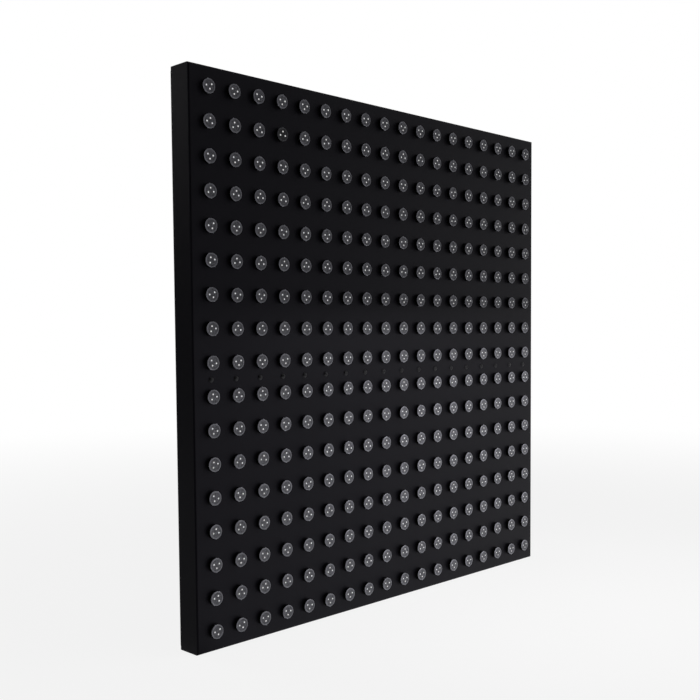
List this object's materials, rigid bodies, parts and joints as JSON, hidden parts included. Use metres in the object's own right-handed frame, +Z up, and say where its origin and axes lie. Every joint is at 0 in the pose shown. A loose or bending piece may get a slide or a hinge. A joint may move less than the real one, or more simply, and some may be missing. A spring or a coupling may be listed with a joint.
{
  "type": "led dot matrix panel",
  "caption": "Square black LED dot matrix panel: round pixel modules in a regular grid on a folded sheet-metal tray, with a rear cover, cable glands and wall mounting holes.",
  "frame": {"origin": "centre of the rear mounting hole pattern, on the outer face of the rear cover", "axes": "+X to the right as seen from the front, +Z up, and the pixels face -Y"},
  "size_m": [1, 0.0785, 1],
  "materials": {
    "black_sheet": "satin black powder coat",
    "black_screw": "black oxide",
    "black_plastic": "moulded black nylon",
    "black_rubber": "matt",
    "led_epoxy": "clear epoxy over a bright reflector",
    "zinc_steel": "zinc plated",
    "green_board": "solder mask",
    "black_board": "solder mask",
    "chip_plastic": "moulded",
    "terminal_plastic": "moulded",
    "brass": "turned",
    "black_cable": "extruded PVC",
    "module_plastic": "moulded black ABS",
    "lens_plastic": "frosted smoky polycarbonate"
  },
  "bodies": {
    "root": {"front_tray": "black_sheet", "rear_cover": "black_sheet", "front_screws": "black_screw", "cover_screws": "black_screw", "gland_bodies": "black_plastic", "gland_caps": "black_plastic", "gland_nuts": "black_plastic", "gland_seals": "black_rubber", "cover_gasket": "black_rubber", "leds_red": "led_epoxy", "leds_green": "led_epoxy", "leds_blue": "led_epoxy", "mid_rail": "zinc_steel", "rail_nuts": "zinc_steel", "cover_nuts": "zinc_steel", "mount_plates": "zinc_steel", "mount_nuts": "zinc_steel", "control_board": "green_board", "board_chips": "chip_plastic", "board_terminals": "terminal_plastic", "board_standoffs": "brass", "board_screws": "zinc_steel", "wiring_looms": "black_cable", "link_leads": "black_cable", "module_boards": "black_board", "pixel_bodies_row_01": "module_plastic", "pixel_bodies_row_02": "module_plastic", "pixel_bodies_row_03": "module_plastic", "pixel_bodies_row_04": "module_plastic", "pixel_bodies_row_05": "module_plastic", "pixel_bodies_row_06": "module_plastic", "pixel_bodies_row_07": "module_plastic", "pixel_bodies_row_08": "module_plastic", "pixel_bodies_row_09": "module_plastic", "pixel_bodies_row_10": "module_plastic", "pixel_bodies_row_11": "module_plastic", "pixel_bodies_row_12": "module_plastic", "pixel_bodies_row_13": "module_plastic", "pixel_bodies_row_14": "module_plastic", "pixel_bodies_row_15": "module_plastic", "pixel_bodies_row_16": "module_plastic", "pixel_bodies_row_17": "module_plastic", "lenses_row_01": "lens_plastic", "lenses_row_02": "lens_plastic", "lenses_row_03": "lens_plastic", "lenses_row_04": "lens_plastic", "lenses_row_05": "lens_plastic", "lenses_row_06": "lens_plastic", "lenses_row_07": "lens_plastic", "lenses_row_08": "lens_plastic", "lenses_row_09": "lens_plastic", "lenses_row_10": "lens_plastic", "lenses_row_11": "lens_plastic", "lenses_row_12": "lens_plastic", "lenses_row_13": "lens_plastic", "lenses_row_14": "lens_plastic", "lenses_row_15": "lens_plastic", "lenses_row_16": "lens_plastic", "lenses_row_17": "lens_plastic"}
  },
  "joints": []
}
